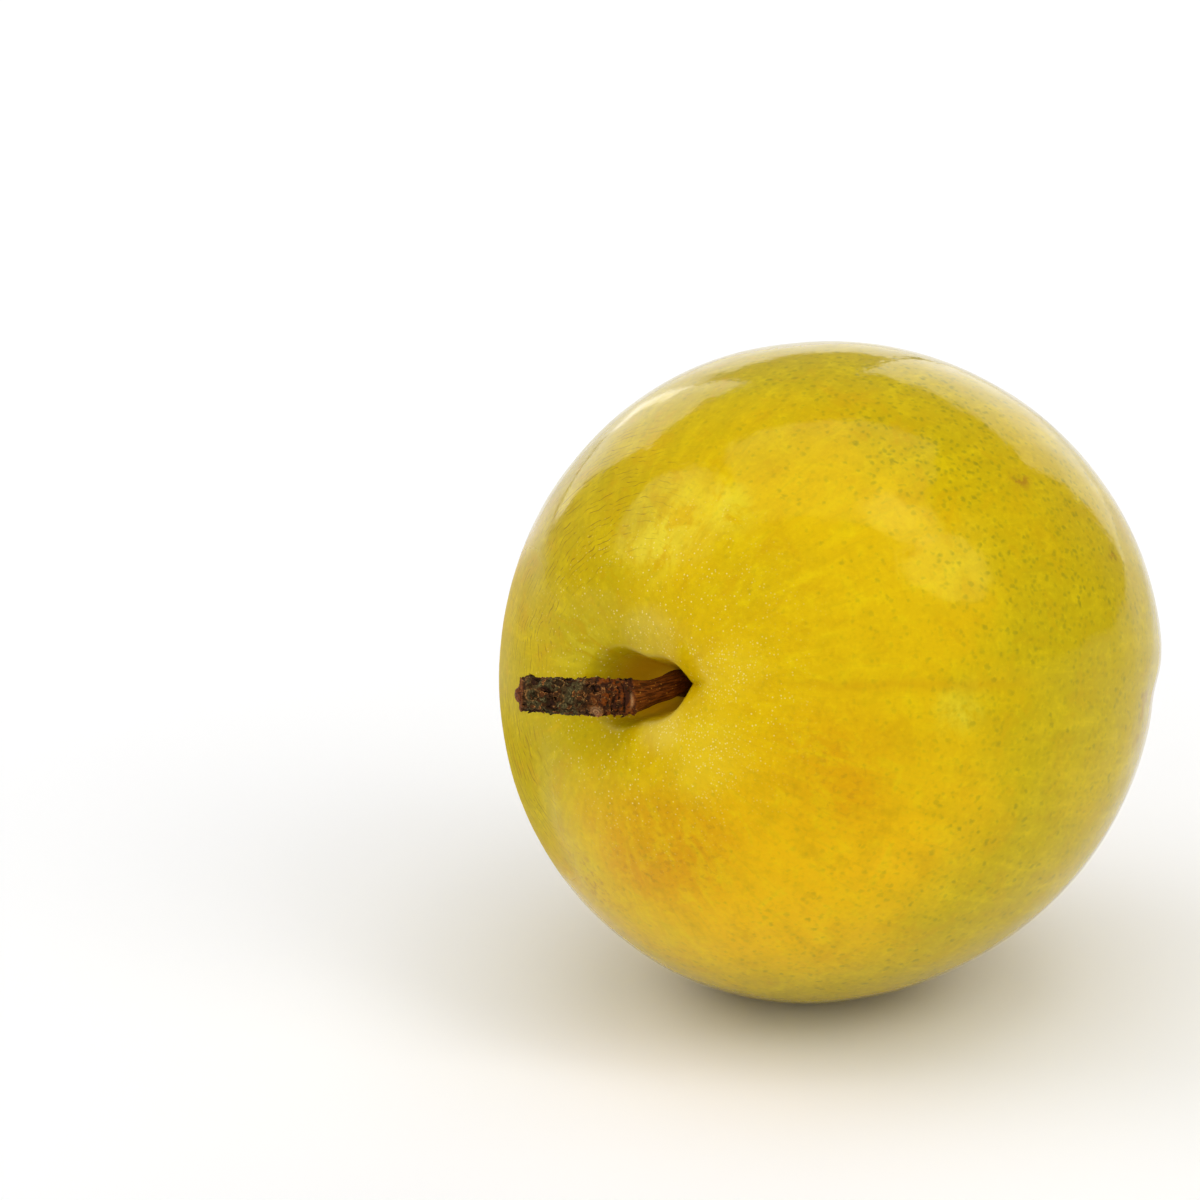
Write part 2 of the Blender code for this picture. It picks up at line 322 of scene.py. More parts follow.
def skin_surface(settings):
    """The skin over theta, from the stem end to the style end, and phi, round from the suture.

    The distance from the centre is the body, less the cavity, the groove and the scar's dimple, plus
    slow uneven swells of a tenth of a millimetre. What would lie under the ground is pressed flat.
    Rows crowd towards the two ends and columns towards the suture. A mask tells how far down the pit
    each point is.
    """
    share = np.linspace(0, 1, settings.rings + 2)[1:-1]
    share = share**1.30 - 0.45 * np.sin(2 * math.pi * share**1.30) / (2 * math.pi)
    thetas = math.pi * share
    turn = turns(settings.columns)
    theta, phi = np.meshgrid(thetas, turn - 0.55 * np.sin(turn), indexing="ij")
    radius = body_radius(theta, phi, settings.mean_radius)
    radius -= cavity_depth(theta, phi, settings.dish_depth, settings.pit_depth)
    radius += suture_relief(theta, phi, settings.groove_depth)
    radius -= SCAR_DIMPLE_DEPTH * bell(math.pi - theta, SCAR_DIMPLE_ANGLE)
    across = np.sin(theta)
    outward = np.stack([across * np.cos(phi), across * np.sin(phi), np.cos(theta)], axis=-1)
    swell = SWELL * (layered(outward * 3.1 + 7, 11, 2) - 0.5)
    swell += NARROW_SWELL * (layered(outward * 8.0 + 3, 17, 2) - 0.5)
    radius += swell * eased(theta, 0.25, 0.6) - INSET
    points = placed(outward * radius[..., None])
    points[..., 2] = np.maximum(points[..., 2], 0.0)
    return points, {"pit": pit_share(theta, phi)}


def smooth_line(route, count):
    """Evenly spaced points and directions along a smooth curve through the route's points (Catmull-Rom)."""
    route = np.array(route)
    padded = np.concatenate([[2 * route[0] - route[1]], route, [2 * route[-1] - route[-2]]])
    fine = []
    for before, here, there, after in zip(padded, padded[1:], padded[2:], padded[3:]):
        t = np.linspace(0, 1, 40, endpoint=False)[:, None]
        curve = 2 * here + (there - before) * t + (2 * before - 5 * here + 4 * there - after) * t**2
        fine.append((curve + (3 * here - before - 3 * there + after) * t**3) / 2)
    fine = np.concatenate(fine + [route[-1:]])
    length = np.concatenate([[0], np.cumsum(np.linalg.norm(np.diff(fine, axis=0), axis=1))])
    even = np.linspace(0, length[-1], count)
    points = np.stack([np.interp(even, length, fine[:, axis]) for axis in range(3)], axis=1)
    along = np.gradient(points, axis=0)
    return points, along / np.linalg.norm(along, axis=1)[:, None]


def on_stem(share, turn, radius):
    """Points beside the stem's line, at a share of its length, a turn round it and a distance from it.

    As the fruit lies, turn 0 faces away from the camera, a quarter turn up, a half towards it and three
    quarters down. Past the end of the line the points go straight on.
    """
    line, along = smooth_line(STEM_ROUTE, 400)
    side = np.cross(along, (0.0, 1.0, 0.0))
    side /= np.linalg.norm(side, axis=1)[:, None]
    top = np.cross(side, along)
    even = np.linspace(0, 1, 400)
    picked = []
    for table in (line, side, top, along):
        picked.append(np.stack([np.interp(share, even, table[:, axis]) for axis in range(3)], axis=-1))
    middle, sideways, upwards, forwards = picked
    past_end = (np.maximum(share - 1, 0) * 0.001 * STEM_LENGTH)[..., None] * forwards
    around = np.cos(turn)[..., None] * sideways + np.sin(turn)[..., None] * upwards
    return middle + past_end + radius[..., None] * around


def stem_radius(share, turn, settings):
    """The stem without its fine relief: pedicel, then thicker bark with its knob, bud scar and collar."""
    radius = ROOT_RADIUS + (settings.pedicel_radius - ROOT_RADIUS) * eased(share, 0.0, 0.20)
    thicker = settings.bark_radius - settings.pedicel_radius
    radius = radius + thicker * eased(share, BARK_START - 0.13, BARK_START + 0.03)
    radius = radius - 0.00008 * eased(share, 0.7, 1.0)
    radius = radius + 0.00012 * bell(share - KNOB_PLACE, 0.045)
    radius = radius + 0.00010 * bell(share - BARK_START, 0.010)
    bud = bell(share - KNOB_PLACE, 0.022) * bell(turn - BUD_TURN, math.radians(26))
    return radius + 0.00022 * bud


def off_by(share, turn, place, heading):
    """How far points of the stem's skin are from one of them, in millimetres, along it and round it."""
    round_by = (turn - heading + math.pi) % (2 * math.pi) - math.pi
    return np.hypot((share - place) * STEM_LENGTH, round_by * STEM_SCALE)


def bark_relief(share, turn):
    """The height of the stem's fine relief in millimetres, and masks of where its kinds of surface lie.

    Bark is rings at uneven steps, plates parted by cracks, lumps and fine grain. Lichen is a crust of
    small domes. A round scar is a low ring, and the bud's scar is a disc with a rim.
    """
    spot = np.stack([share * STEM_LENGTH, STEM_SCALE * np.cos(turn), STEM_SCALE * np.sin(turn)], axis=-1)
    bark = eased(share, BARK_START - 0.004, BARK_START + 0.012)
    wander = layered(spot * 0.9, 21, 3)
    phase = 2 * math.pi * (share * 34 + 1.7 * (wander - 0.5) + 0.12 * np.sin(turn))
    ringed = 1 - 0.75 * eased(share, 0.50, 0.60)
    rings = 0.120 * ringed * (np.abs(np.sin(phase / 2)) ** 0.5 - 0.6)
    near, second = pebbles(spot * (1.7, 1.3, 1.3) + 0.8 * wander[..., None], 31)
    plates = (0.11 * eased(second - near, 0.0, 0.35) - 0.08) * (1.25 - 0.8 * ringed)
    lumps = 0.36 * (layered(spot * 1.2 + 3, 41, 3) - 0.5)
    grain = 0.15 * (layered(spot * (5, 4, 4), 51, 4) - 0.5)
    cracks = -0.11 * bell(layered(spot * (0.8, 3, 3) + 9, 61, 3) - 0.5, 0.035)
    crust = layered(spot * 0.8 + 5, 71, 2) + 0.20 * np.cos(turn - 3.7) + 0.30 * (share - 0.74)
    crust = eased(crust, 0.52, 0.58) * eased(share, 0.60, 0.68) * (1 - eased(share, 0.93, 0.96))
    dome, _ = pebbles(spot * 2.1, 81)
    fine_dome, _ = pebbles(spot * 5.2, 83)
    cushions = 0.15 * np.sqrt(np.maximum(1 - dome**2, 0)) + 0.19 * (1 - fine_dome) - 0.11
    rough = rings + plates + lumps * (1.3 - 0.6 * ringed)
    rough = rough + (grain + cracks) * (1.2 - 0.7 * ringed)
    rough = rough * (1 - crust) + crust * (0.7 * lumps + cushions)
    ring = 0 * share
    for place, heading, radius in ROUND_SCARS:
        away = off_by(share, turn, place, heading)
        ring = np.maximum(ring, bell(away - radius, 0.055))
        rough = rough - 0.08 * bell(away, 0.8 * radius)
    bud = off_by(share, turn, BUD_PLACE, BUD_TURN)
    disc = np.exp(-((bud / 0.46) ** 6))
    rough = rough * (1 - disc) + disc * (0.06 + 0.025 * np.cos(bud * 34))
    ring = np.maximum(ring, bell(bud - 0.52, 0.07))
    rough = rough + 0.06 * ring * bark
    ribs = 0.06 * (layered(spot * (0.5, 3.4, 3.4), 91, 3) - 0.5)
    warts = 0.030 * eased(layered(spot * 4.6, 95, 1), 0.80, 0.95)
    beside = turn - CRESCENT_TURN
    crescent = bell(share - CRESCENT_PLACE - 0.012 * beside**2, 0.007) * bell(beside, 0.42)
    relief = (bark * rough + (1 - bark) * (ribs + warts)) * (1 - crescent) + 0.10 * crescent
    masks = {"relief": relief, "bark": bark, "crust": crust * bark, "ring": ring * bark}
    masks["pale"] = np.maximum(disc * (0.62 + 0.38 * np.cos(bud * 30)), crescent)
    return relief, masks


def stem_surface(settings):
    """The stem as rings carried along its line, closed by a torn face at the cut end.

    A ring's radius is the plain radius plus the bark's relief; past the end the rings shrink to the
    middle, and stand in and out by a splintered noise.
    """
    columns, cap_rows = 176, 16
    bare_rows = np.linspace(0, BARK_START - 0.02, 90, endpoint=False)
    share = np.concatenate([bare_rows, np.linspace(BARK_START - 0.02, BARK_END, 440)])
    share, turn = np.meshgrid(share, turns(columns), indexing="ij")
    relief, masks = bark_relief(share, turn)
    radius = stem_radius(share, turn, settings) + 0.001 * settings.relief * relief
    side = on_stem(share, turn, radius)
    shrink = np.linspace(1, 0, cap_rows + 2)[1:-1, None]
    end_turn = np.repeat(turn[-1:], cap_rows, axis=0)
    end_radius = radius[-1:] * shrink**0.7
    shrunk = STEM_SCALE * shrink
    spot = np.stack([shrunk * np.cos(end_turn), shrunk * np.sin(end_turn), 0 * end_turn], axis=-1)
    splinters = layered(spot * 2.2 + 4, 101, 3) - 0.5
    out = BARK_END + 0.040 * splinters * (1 - shrink) ** 0.3 - 0.010 * (1 - shrink)
    points = placed(np.concatenate([side, on_stem(out, end_turn, end_radius)]))
    none = np.zeros_like(splinters)
    ends = {"relief": 0.3 * splinters, "bark": none + 1, "crust": none, "ring": none, "pale": none}
    masks = {name: np.concatenate([mask, ends[name]]) for name, mask in masks.items()}
    masks["along"] = np.concatenate([share, none + 1])
    masks["torn"] = np.concatenate([eased(share, 0.955, BARK_END), none + 1])
    masks["round_x"] = np.concatenate([np.cos(turn), np.cos(end_turn)])
    masks["round_y"] = np.concatenate([np.sin(turn), np.sin(end_turn)])
    return points, masks


def round_grid(rows, columns):
    """Slopes from pole to pole and turns round them, and where they lie on a ball of radius 1."""
    slope = np.linspace(0, math.pi, rows + 2)[1:-1]
    slope, turn = np.meshgrid(slope, turns(columns), indexing="ij")
    across = np.sin(slope)
    return slope, turn, np.stack([np.cos(slope), across * np.cos(turn), across * np.sin(turn)], axis=-1)


def stub_surface():
    """The wood that stands out of the cut: an egg along the stem's line, dented by a slow noise.

    Over a slope from pole to pole and a turn, it goes along by the slope's cosine and out by its sine.
    """
    slope, turn, spot = round_grid(32, 40)
    dents = layered(spot * 2.3 + 2, 111, 4) - 0.5
    long_way = 0.953 + 0.044 * np.cos(slope) * (1 + 0.3 * dents)
    radius = 0.00074 * np.sin(slope) ** 0.7 * (1 + 0.45 * dents) * (1 + 0.12 * np.cos(2 * turn))
    return placed(on_stem(long_way, turn, radius))


def style_tip_surface(settings):
    """The dry tip of the style: a small crumpled button on the far end of the fruit.

    Over a slope from pole to pole and a turn, it goes out by the slope's sine and up by its cosine,
    both unevenly, and it leans over to one side.
    """
    slope, turn, spot = round_grid(32, 48)
    crumple = layered(spot * 2.6 + 6, 121, 4) - 0.5
    out = 0.00062 * np.sin(slope) * (1 + 0.7 * crumple) * (1 + 0.10 * np.cos(5 * turn))
    up = 0.00050 * np.cos(slope) * (1 + 0.8 * crumple)
    middle = body_radius(math.pi, 0.0, settings.mean_radius) - SCAR_DIMPLE_DEPTH
    lean = 0.25 * np.maximum(up, 0)
    return placed(np.stack([out * np.cos(turn) + lean, out * np.sin(turn), -middle - up], axis=-1))


def bark_scales(settings):
    """Crumbs and small loose plates of bark: jagged lenses set on the stem, most with one end raised.

    A crumb's height over the bark is its thickness, up or down, plus a tilt that grows evenly towards
    its raised end. Its outline is a circle, stretched and jagged by a noise.
    """
    random = np.random.default_rng(5)
    count = 420
    place = random.uniform(BARK_START - 0.004, BARK_END - 0.01, count)
    turned = random.uniform(0, 2 * math.pi, count)
    size = random.uniform(0.07, 0.17, count) * random.uniform(0.7, 1.25, count)
    length = size * random.uniform(0.7, 1.5, count) / STEM_LENGTH
    width = size * random.uniform(0.5, 1.1, count)
    thick = random.uniform(0.030, 0.075, count)
    lift = random.uniform(-0.02, 0.09, count)
    skew = random.uniform(-1.2, 1.2, count)
    heading = random.choice([-1.0, 1.0], count)
    # The largest ones, where they stand out from the sides of the stem
    place[:12] = (0.470, 0.430, 0.860, 0.715, 0.560, 0.930, 0.800, 0.640, 0.520, 0.905, 0.955, 0.455)
    turned[:12] = np.radians((262, 275, 92, 88, 95, 80, 268, 85, 30, 92, 98, 88))
    length[:12] = (0.24, 0.20, 0.26, 0.22, 0.24, 0.30, 0.20, 0.20, 0.26, 0.22, 0.20, 0.18)
    length[:12] /= STEM_LENGTH
    width[:12] = (0.13, 0.11, 0.14, 0.13, 0.13, 0.16, 0.12, 0.12, 0.16, 0.14, 0.13, 0.12)
    lift[:12] = (0.20, 0.10, 0.12, 0.12, 0.14, 0.10, 0.09, 0.10, 0.08, 0.12, 0.09, 0.08)
    thick[:12] = (0.09, 0.08, 0.10, 0.09, 0.09, 0.11, 0.08, 0.08, 0.08, 0.10, 0.09, 0.08)
    # None lies on the bud's scar or the crescent: those are turned aside
    scars = ((BUD_PLACE, BUD_TURN), (CRESCENT_PLACE + 0.003, CRESCENT_TURN))
    clear = np.minimum(*(off_by(place, turned, *scar) for scar in scars))
    turned = turned + 1.6 * (clear < 0.8)
    slope, turn, _ = round_grid(5, 12)
    out, up = np.sin(slope), np.cos(slope)
    column = (slice(None), None, None)
    shape = (count, *out.shape)
    rim = [np.broadcast_to(part, shape) for part in (2 * np.cos(turn), 2 * np.sin(turn))]
    rim.append(np.broadcast_to(3.7 * np.arange(count)[column] + 0.6 * up, shape))
    jag = 1 + 1.3 * (layered(np.stack(rim, axis=-1), 7, 2) - 0.5)
    across = out * np.cos(turn) * jag
    down = out * np.sin(turn) * jag
    share = np.clip(place[column] + length[column] * (across + skew[column] * down * 0.5), 0, BARK_END)
    around = turned[column] + width[column] * down
    base = stem_radius(share, around, settings)
    relief, _ = bark_relief(place, turned)
    tilt = lift[column] * (0.4 + across * heading[column])
    height = relief[column] + 0.004 + tilt + thick[column] * up * (1.3 - out) * jag
    points = placed(on_stem(share, around, base + 0.001 * height))
    return points, {"rim": np.broadcast_to(out, shape)}


# Meshes


def grid_faces(rows, columns, start):
    """The four-cornered faces of a grid of points that closes on itself round its columns."""
    here = start + np.arange(rows)[:, None] * columns + np.arange(columns)
    beside = start + np.arange(rows)[:, None] * columns + (np.arange(columns) + 1) % columns
    return np.stack([here[:-1], here[1:], beside[1:], beside[:-1]], axis=-1).reshape(-1, 4)


def closed_bodies(points):
    """Points and faces of closed bodies: grids that go round, each with a point at its two poles.

    The faces are turned over if most of them look towards the middle of their body.
    """
    points = points[None] if points.ndim == 3 else points
    count, rows, columns = points.shape[:3]
    size = rows * columns + 2
    poles = points[:, [0, -1]].mean(axis=2)
    every = np.concatenate([points.reshape(count, -1, 3), poles], axis=1).reshape(-1, 3)
    quads = grid_faces(rows, columns, 0)
    column = np.arange(columns)
    after = (column + 1) % columns
    last = (rows - 1) * columns
    top = np.stack([np.full(columns, size - 2), column, after], axis=-1)
    bottom = np.stack([np.full(columns, size - 1), last + after, last + column], axis=-1)
    shift = (np.arange(count) * size)[:, None, None]
    quads = (quads[None] + shift).reshape(-1, 4)
    fans = (np.concatenate([top, bottom])[None] + shift).reshape(-1, 3)
    corner = every[quads]
    owner = np.repeat(points.reshape(count, -1, 3).mean(axis=1), len(quads) // count, axis=0)
    crossed = np.cross(corner[:, 2] - corner[:, 0], corner[:, 3] - corner[:, 1])
    if ((corner.mean(axis=1) - owner) * crossed).sum() < 0:
        quads, fans = quads[:, ::-1], fans[:, ::-1]
    return every, quads, fans


def make_piece(context, name, points, finish, node=None, masks=None, smooth=True):
    """Puts closed bodies into a mesh with its material, and lets it ride on the fruit's body."""
    every, quads, fans = closed_bodies(points)
    mesh = bpy.data.meshes.new(name)
    mesh.from_pydata(every.tolist(), [], quads.tolist() + fans.tolist())
    if smooth:
        mesh.shade_smooth()
    for label, values in (masks or {}).items():
        values = values.reshape(-1, *values.shape[-2:])
        poles = values[:, [0, -1]].mean(axis=2)
        values = np.concatenate([values.reshape(len(values), -1), poles], axis=1)
        layer = mesh.attributes.new(label, "FLOAT", "POINT")
        layer.data.foreach_set("value", values.ravel().astype(np.float32))
    mesh.materials.append(finish)
    piece = bpy.data.objects.new(name, mesh)
    context.collection.objects.link(piece)
    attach(piece, BODY)
    if node:
        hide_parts(node)


# Materials


class Wire:
    """A shader socket that takes part in sums: each operation adds its own Math node."""

    def __init__(self, graph, socket):
        self.graph = graph
        self.socket = socket

    def __add__(self, other):
        return self.graph.maths("ADD", self, other)

    def __sub__(self, other):
        return self.graph.maths("SUBTRACT", self, other)

    def __rsub__(self, other):
        return self.graph.maths("SUBTRACT", other, self)

    def __mul__(self, other):
        return self.graph.maths("MULTIPLY", self, other)

    def __truediv__(self, other):
        return self.graph.maths("DIVIDE", self, other)

    __radd__ = __add__
    __rmul__ = __mul__


class Graph:
    """The nodes of one material, and the few kinds of pattern that it is put together from."""

    def __init__(self, owner, shader="Principled BSDF", **numbers):
        self.owner = owner
        owner.use_nodes = True
        self.tree = owner.node_tree
        self.shader = self.tree.nodes[shader]
        self.colour = None
        for label, value in numbers.items():
            self.shader.inputs[label.replace("_", " ")].default_value = value

    def node(self, kind, settings=None, sockets=None, output=0):
        """Adds a node: first its settings, then its sockets' values or links. Gives one output or more."""
        made = self.tree.nodes.new(kind)
        for name, value in (settings or {}).items():
            setattr(made, name, value)
        for name, value in (sockets or {}).items():
            if isinstance(value, Wire):
                self.tree.links.new(value.socket, made.inputs[name])
            else:
                made.inputs[name].default_value = value
        if isinstance(output, tuple):
            return [Wire(self, made.outputs[each]) for each in output]
        return Wire(self, made.outputs[output])

    def attribute(self, name):
        return self.node("ShaderNodeAttribute", {"attribute_name": name}, None, "Fac")

    def feed(self, name, wire):
        self.tree.links.new(wire.socket, self.shader.inputs[name])

    def fruit_place(self):
        """The place on the piece in the fruit's own frame, in metres."""
        place = self.node("ShaderNodeTexCoord", output="Object")
        lies = placement()
        sockets = {"Vector": place, "Location": lies.to_translation(), "Rotation": lies.to_euler()}
        return self.node("ShaderNodeMapping", {"vector_type": "TEXTURE"}, sockets)

    def maths(self, operation, *values):
        return self.node("ShaderNodeMath", {"operation": operation}, dict(enumerate(values)))

    def vector(self, operation, *values, output=0):
        return self.node("ShaderNodeVectorMath", {"operation": operation}, dict(enumerate(values)), output)

    def joined(self, x, y, z):
        return self.node("ShaderNodeCombineXYZ", None, {0: x, 1: y, 2: z})

    def split(self, vector):
        return self.node("ShaderNodeSeparateXYZ", None, {0: vector}, ("X", "Y", "Z"))

    def noise(self, place, scale, detail=3.0, roughness=0.55, distortion=0.0):
        sockets = {"Vector": place, "Scale": scale, "Detail": detail, "Roughness": roughness}
        return self.node("ShaderNodeTexNoise", None, {**sockets, "Distortion": distortion})

    def drift(self, place, scale, amount):
        """The place, pushed this way and that by a soft noise."""
        sockets = {"Vector": place, "Scale": scale, "Detail": 3.0}
        colour = self.node("ShaderNodeTexNoise", None, sockets, "Color")
        off = self.vector("SUBTRACT", colour, (0.5, 0.5, 0.5))
        return self.vector("ADD", place, self.vector("MULTIPLY", off, (amount,) * 3))

    def rise(self, value, low, high):
        """0 to 1 as the value goes from low to high, eased; low may be the larger one."""
        sockets = {"Value": value, "From Min": low, "From Max": high}
        return self.node("ShaderNodeMapRange", {"interpolation_type": "SMOOTHSTEP"}, sockets)

    def bell(self, value, middle, spread):
        """e to the power of minus the square of how many spreads the value is from the middle."""
        off = (value - middle) / spread
        return self.maths("EXPONENT", off * off * -1.0)

    def patch(self, way, theta, phi, inner, outer):
        """1 round the given direction from the centre, 0 past the outer reach; angles in degrees."""
        theta, phi = math.radians(theta), math.radians(phi)
        middle = (math.sin(theta) * math.cos(phi), math.sin(theta) * math.sin(phi), math.cos(theta))
        return self.rise(self.vector("DISTANCE", way, middle, output="Value"), outer, inner)

    def dots(self, place, scale, inner, outer):
        """Round dots strewn about, and a number from 0 to 1 that differs from dot to dot."""
        sockets = {"Vector": place, "Scale": scale}
        distance, colour = self.node("ShaderNodeTexVoronoi", None, sockets, ("Distance", "Color"))
        return self.rise(distance, outer, inner), self.split(colour)[0]

    def mix(self, amount, first, second):
        """A colour between two others; a colour given as three numbers is made four."""
        first, second = (each if isinstance(each, Wire) else (*each, 1) for each in (first, second))
        return self.node("ShaderNodeMix", {"data_type": "RGBA"}, {0: amount, 6: first, 7: second}, 2)

    def lay(self, amount, colour):
        """Lays a colour over the one so far, as strongly as the amount says."""
        self.colour = self.mix(amount, self.colour, colour)

    def finish(self, roughness, height, distance):
        """Joins the colour, the roughness and the fine relief to the shader, and gives the material."""
        sockets = {"Height": height, "Distance": distance, "Strength": 1.0}
        self.feed("Base Color", self.colour)
        self.feed("Roughness", roughness)
        self.feed("Normal", self.node("ShaderNodeBump", None, sockets))
        return self.owner


def new_graph(name, shine, tint=(1.0, 1.0, 1.0)):
    """The graph of a new material, with the strength and the tint of its mirror shine."""
    material = bpy.data.materials.new(name)
    return Graph(material, Specular_IOR_Level=shine, Specular_Tint=(*tint, 1.0))


def skin_material(settings):
    """Gold skin, greener at the far end and behind, with blush, streaks, pores, suture and wax specks;
    painted glints and highlights, and painted warm shade down the pit.
    """
    graph = new_graph("plum_skin", 0.27, (1.0, 0.90, 0.20))
    lay, mix, rise, patch, noise = graph.lay, graph.mix, graph.rise, graph.patch, graph.noise
    dots, joined, maths = graph.dots, graph.joined, graph.maths
    place = graph.fruit_place()
    way = graph.vector("NORMALIZE", place)
    x, y, z = graph.split(way)
    across = maths("SQRT", x * x + y * y + 0.000001)
    theta = maths("ARCTAN2", across, z)
    cos_phi, sin_phi = x / across, y / across
    pit = graph.attribute("pit")
    loose = graph.drift(way, 2.2, 0.28)
    cloudy = noise(way, 3.4, 3.0, 0.6)

    # Ground colours
    greener = patch(loose, 24, 172, 0.15, 0.75) * 0.75
    greener += rise(theta + (cloudy - 0.5) * 0.3, 0.75, 1.40) * 0.95
    greener += patch(loose, 62, 105, 0.2, 0.85) * 0.75
    greener += patch(loose, 52, -158, 0.1, 0.7) * 0.7
    greener = rise(greener + (cloudy - 0.5) * 1.3, 0.05, 1.10)
    graph.colour = mix(greener, settings.gold, settings.green)
    lay(patch(loose, 118, -128, 0.1, 0.8) * cloudy, settings.gold)
    lay(patch(loose, 128, 118, 0.1, 0.6) * cloudy * 0.8, settings.gold)
    golden = patch(loose, 44, -62, 0.1, 0.62) * rise(theta, 0.2, 0.5)
    golden += patch(loose, 60, -32, 0.05, 0.36) * 0.6
    lay(golden * 0.85, (0.84, 0.475, 0.001))
    warm = patch(loose, 29, -85, 0.05, 0.42)
    warm += patch(loose, 40, -24, 0.04, 0.38) * 0.80
    warm += patch(loose, 66, 12, 0.05, 0.34) * 0.25
    warm = rise(warm * (0.45 + noise(way, 6.0, 4.0)), 0.05, 1.25)
    lay(warm, settings.blush)
    # Darker, duller green-gold patches
    darker_patches = patch(loose, 29, 42, 0.03, 0.30) + patch(loose, 60, 62, 0.05, 0.30) * 0.5
    darker_patches += patch(loose, 80, 35, 0.1, 0.5) * 0.5
    lay(darker_patches * (0.40 + cloudy * 0.55), (0.58, 0.385, 0.001))

    # Streaks that run from end to end
    lengthwise = joined(cos_phi * 5.0, sin_phi * 5.0, theta * 1.1)
    streaks = noise(lengthwise, 2.6, 4.0, 0.62, 0.3)
    fine_streaks = noise(joined(cos_phi * 16.0, sin_phi * 16.0, theta * 2.2), 2.2, 3.0, 0.6)
    streaky = rise(theta, 0.16, 0.62) * 0.34
    lay(rise(streaks, 0.50, 0.74) * streaky, (0.80, 0.60, 0.002))
    lay(rise(streaks, 0.48, 0.26) * streaky, (0.52, 0.32, 0.001))
    brushed = joined(cos_phi * 3.4 + theta, sin_phi * 3.4 + theta * 0.5, theta * 5.0)
    brushed = noise(brushed, 1.7, 4.0, 0.68, 0.6)
    nearer = rise(theta, 1.60, 1.05)
    lay(rise(brushed, 0.52, 0.66) * (0.14 + nearer * 0.28), (0.60, 0.34, 0.001))
    lay(rise(brushed, 0.47, 0.34) * (0.06 + nearer * 0.24), (0.78, 0.60, 0.002))
    lay(rise(fine_streaks, 0.55, 0.78) * streaky * 0.45, settings.olive)

    # Paler places, where the streaks leave gaps, and painted highlights on the two lobes either side of the
    # suture
    light = patch(loose, 26, 82, 0.02, 0.22) * 0.7 + patch(loose, 35, 62, 0.01, 0.13) * 0.7
    # Painted highlights: the patch at 60, -6 below the suture, and the one at 59, 27 on the upper lobe
    light += patch(loose, 60, -6, 0.01, 0.12) * 0.6 + patch(loose, 59, 27, 0.05, 0.26) * 0.15
    light += patch(loose, 16, 150, 0.02, 0.16) * 0.4
    lay(light * rise(brushed, 0.62, 0.42), (0.76, 0.63, 0.030))

    # Soft mottles and the pores
    mottle = noise(place, 420.0, 3.0, 0.62)
    grainy = noise(place, 2100.0, 2.0, 0.6)
    lay(rise(grainy, 0.52, 0.72) * 0.20, (0.44, 0.29, 0.001))
    lay(rise(grainy, 0.48, 0.30) * 0.14, (0.92, 0.70, 0.004))
    lay(rise(mottle, 0.53, 0.74) * 0.26, (0.50, 0.33, 0.001))
    lay(rise(mottle, 0.45, 0.26) * 0.22, (0.88, 0.66, 0.002))
    pored = rise(theta + (cloudy - 0.5) * 0.8, 0.60, 1.30) * 0.80 + 0.16
    crowded = patch(loose, 76, 42, 0.25, 0.85) * rise(cloudy, 0.30, 0.55)
    shaken = graph.drift(place, 1400.0, 0.0007)
    pore, chance = dots(shaken, 1650.0, 0.06, 0.50)
    pore = pore * rise(chance, 1.0 - pored, 1.15 - pored)
    lay(pore * (0.28 + crowded * 0.34), settings.olive)
    wide_pore, wide_chance = dots(shaken, 1050.0, 0.12, 0.34)
    wide_pore = wide_pore * rise(wide_chance, 0.35 - crowded * 0.3, 0.80 - crowded * 0.3)
    lay(wide_pore * pored * (0.52 + crowded * 0.14), settings.olive)

    # The suture, and corky marks beside it and at the far end
    seam = graph.bell(sin_phi * across + (cloudy - 0.5) * 0.02, 0.0, 0.018) * rise(cos_phi, 0.0, 0.3)
    seam = seam * rise(theta, 0.42, 0.62) * (0.3 + streaks)
    lay(seam * rise(theta, 1.5, 0.9) * 0.46, (0.56, 0.28, 0.002))
    flecks = rise(noise(place, 1100.0, 3.0, 0.6), 0.44, 0.60)
    corky = patch(loose, 80, 35, 0.0, 0.055) * (0.15 + flecks * 0.7)
    corky += patch(loose, 96, 23, 0.0, 0.05) * (0.1 + flecks * 0.6)
    corky += patch(loose, 112, -4, 0.02, 0.24) * rise(mottle, 0.46, 0.66) * 0.5
    corky += rise(theta + (mottle - 0.5) * 0.5 + (streaks - 0.5) * 0.3, 2.84, 3.10) * 0.75
    speckle = rise(noise(place, 1700.0, 3.0, 0.65), 0.52, 0.66)
    corky += speckle * (warm * 0.36 + patch(loose, 44, -122, 0.0, 0.24) * 0.55)
    lay(corky, settings.russet)
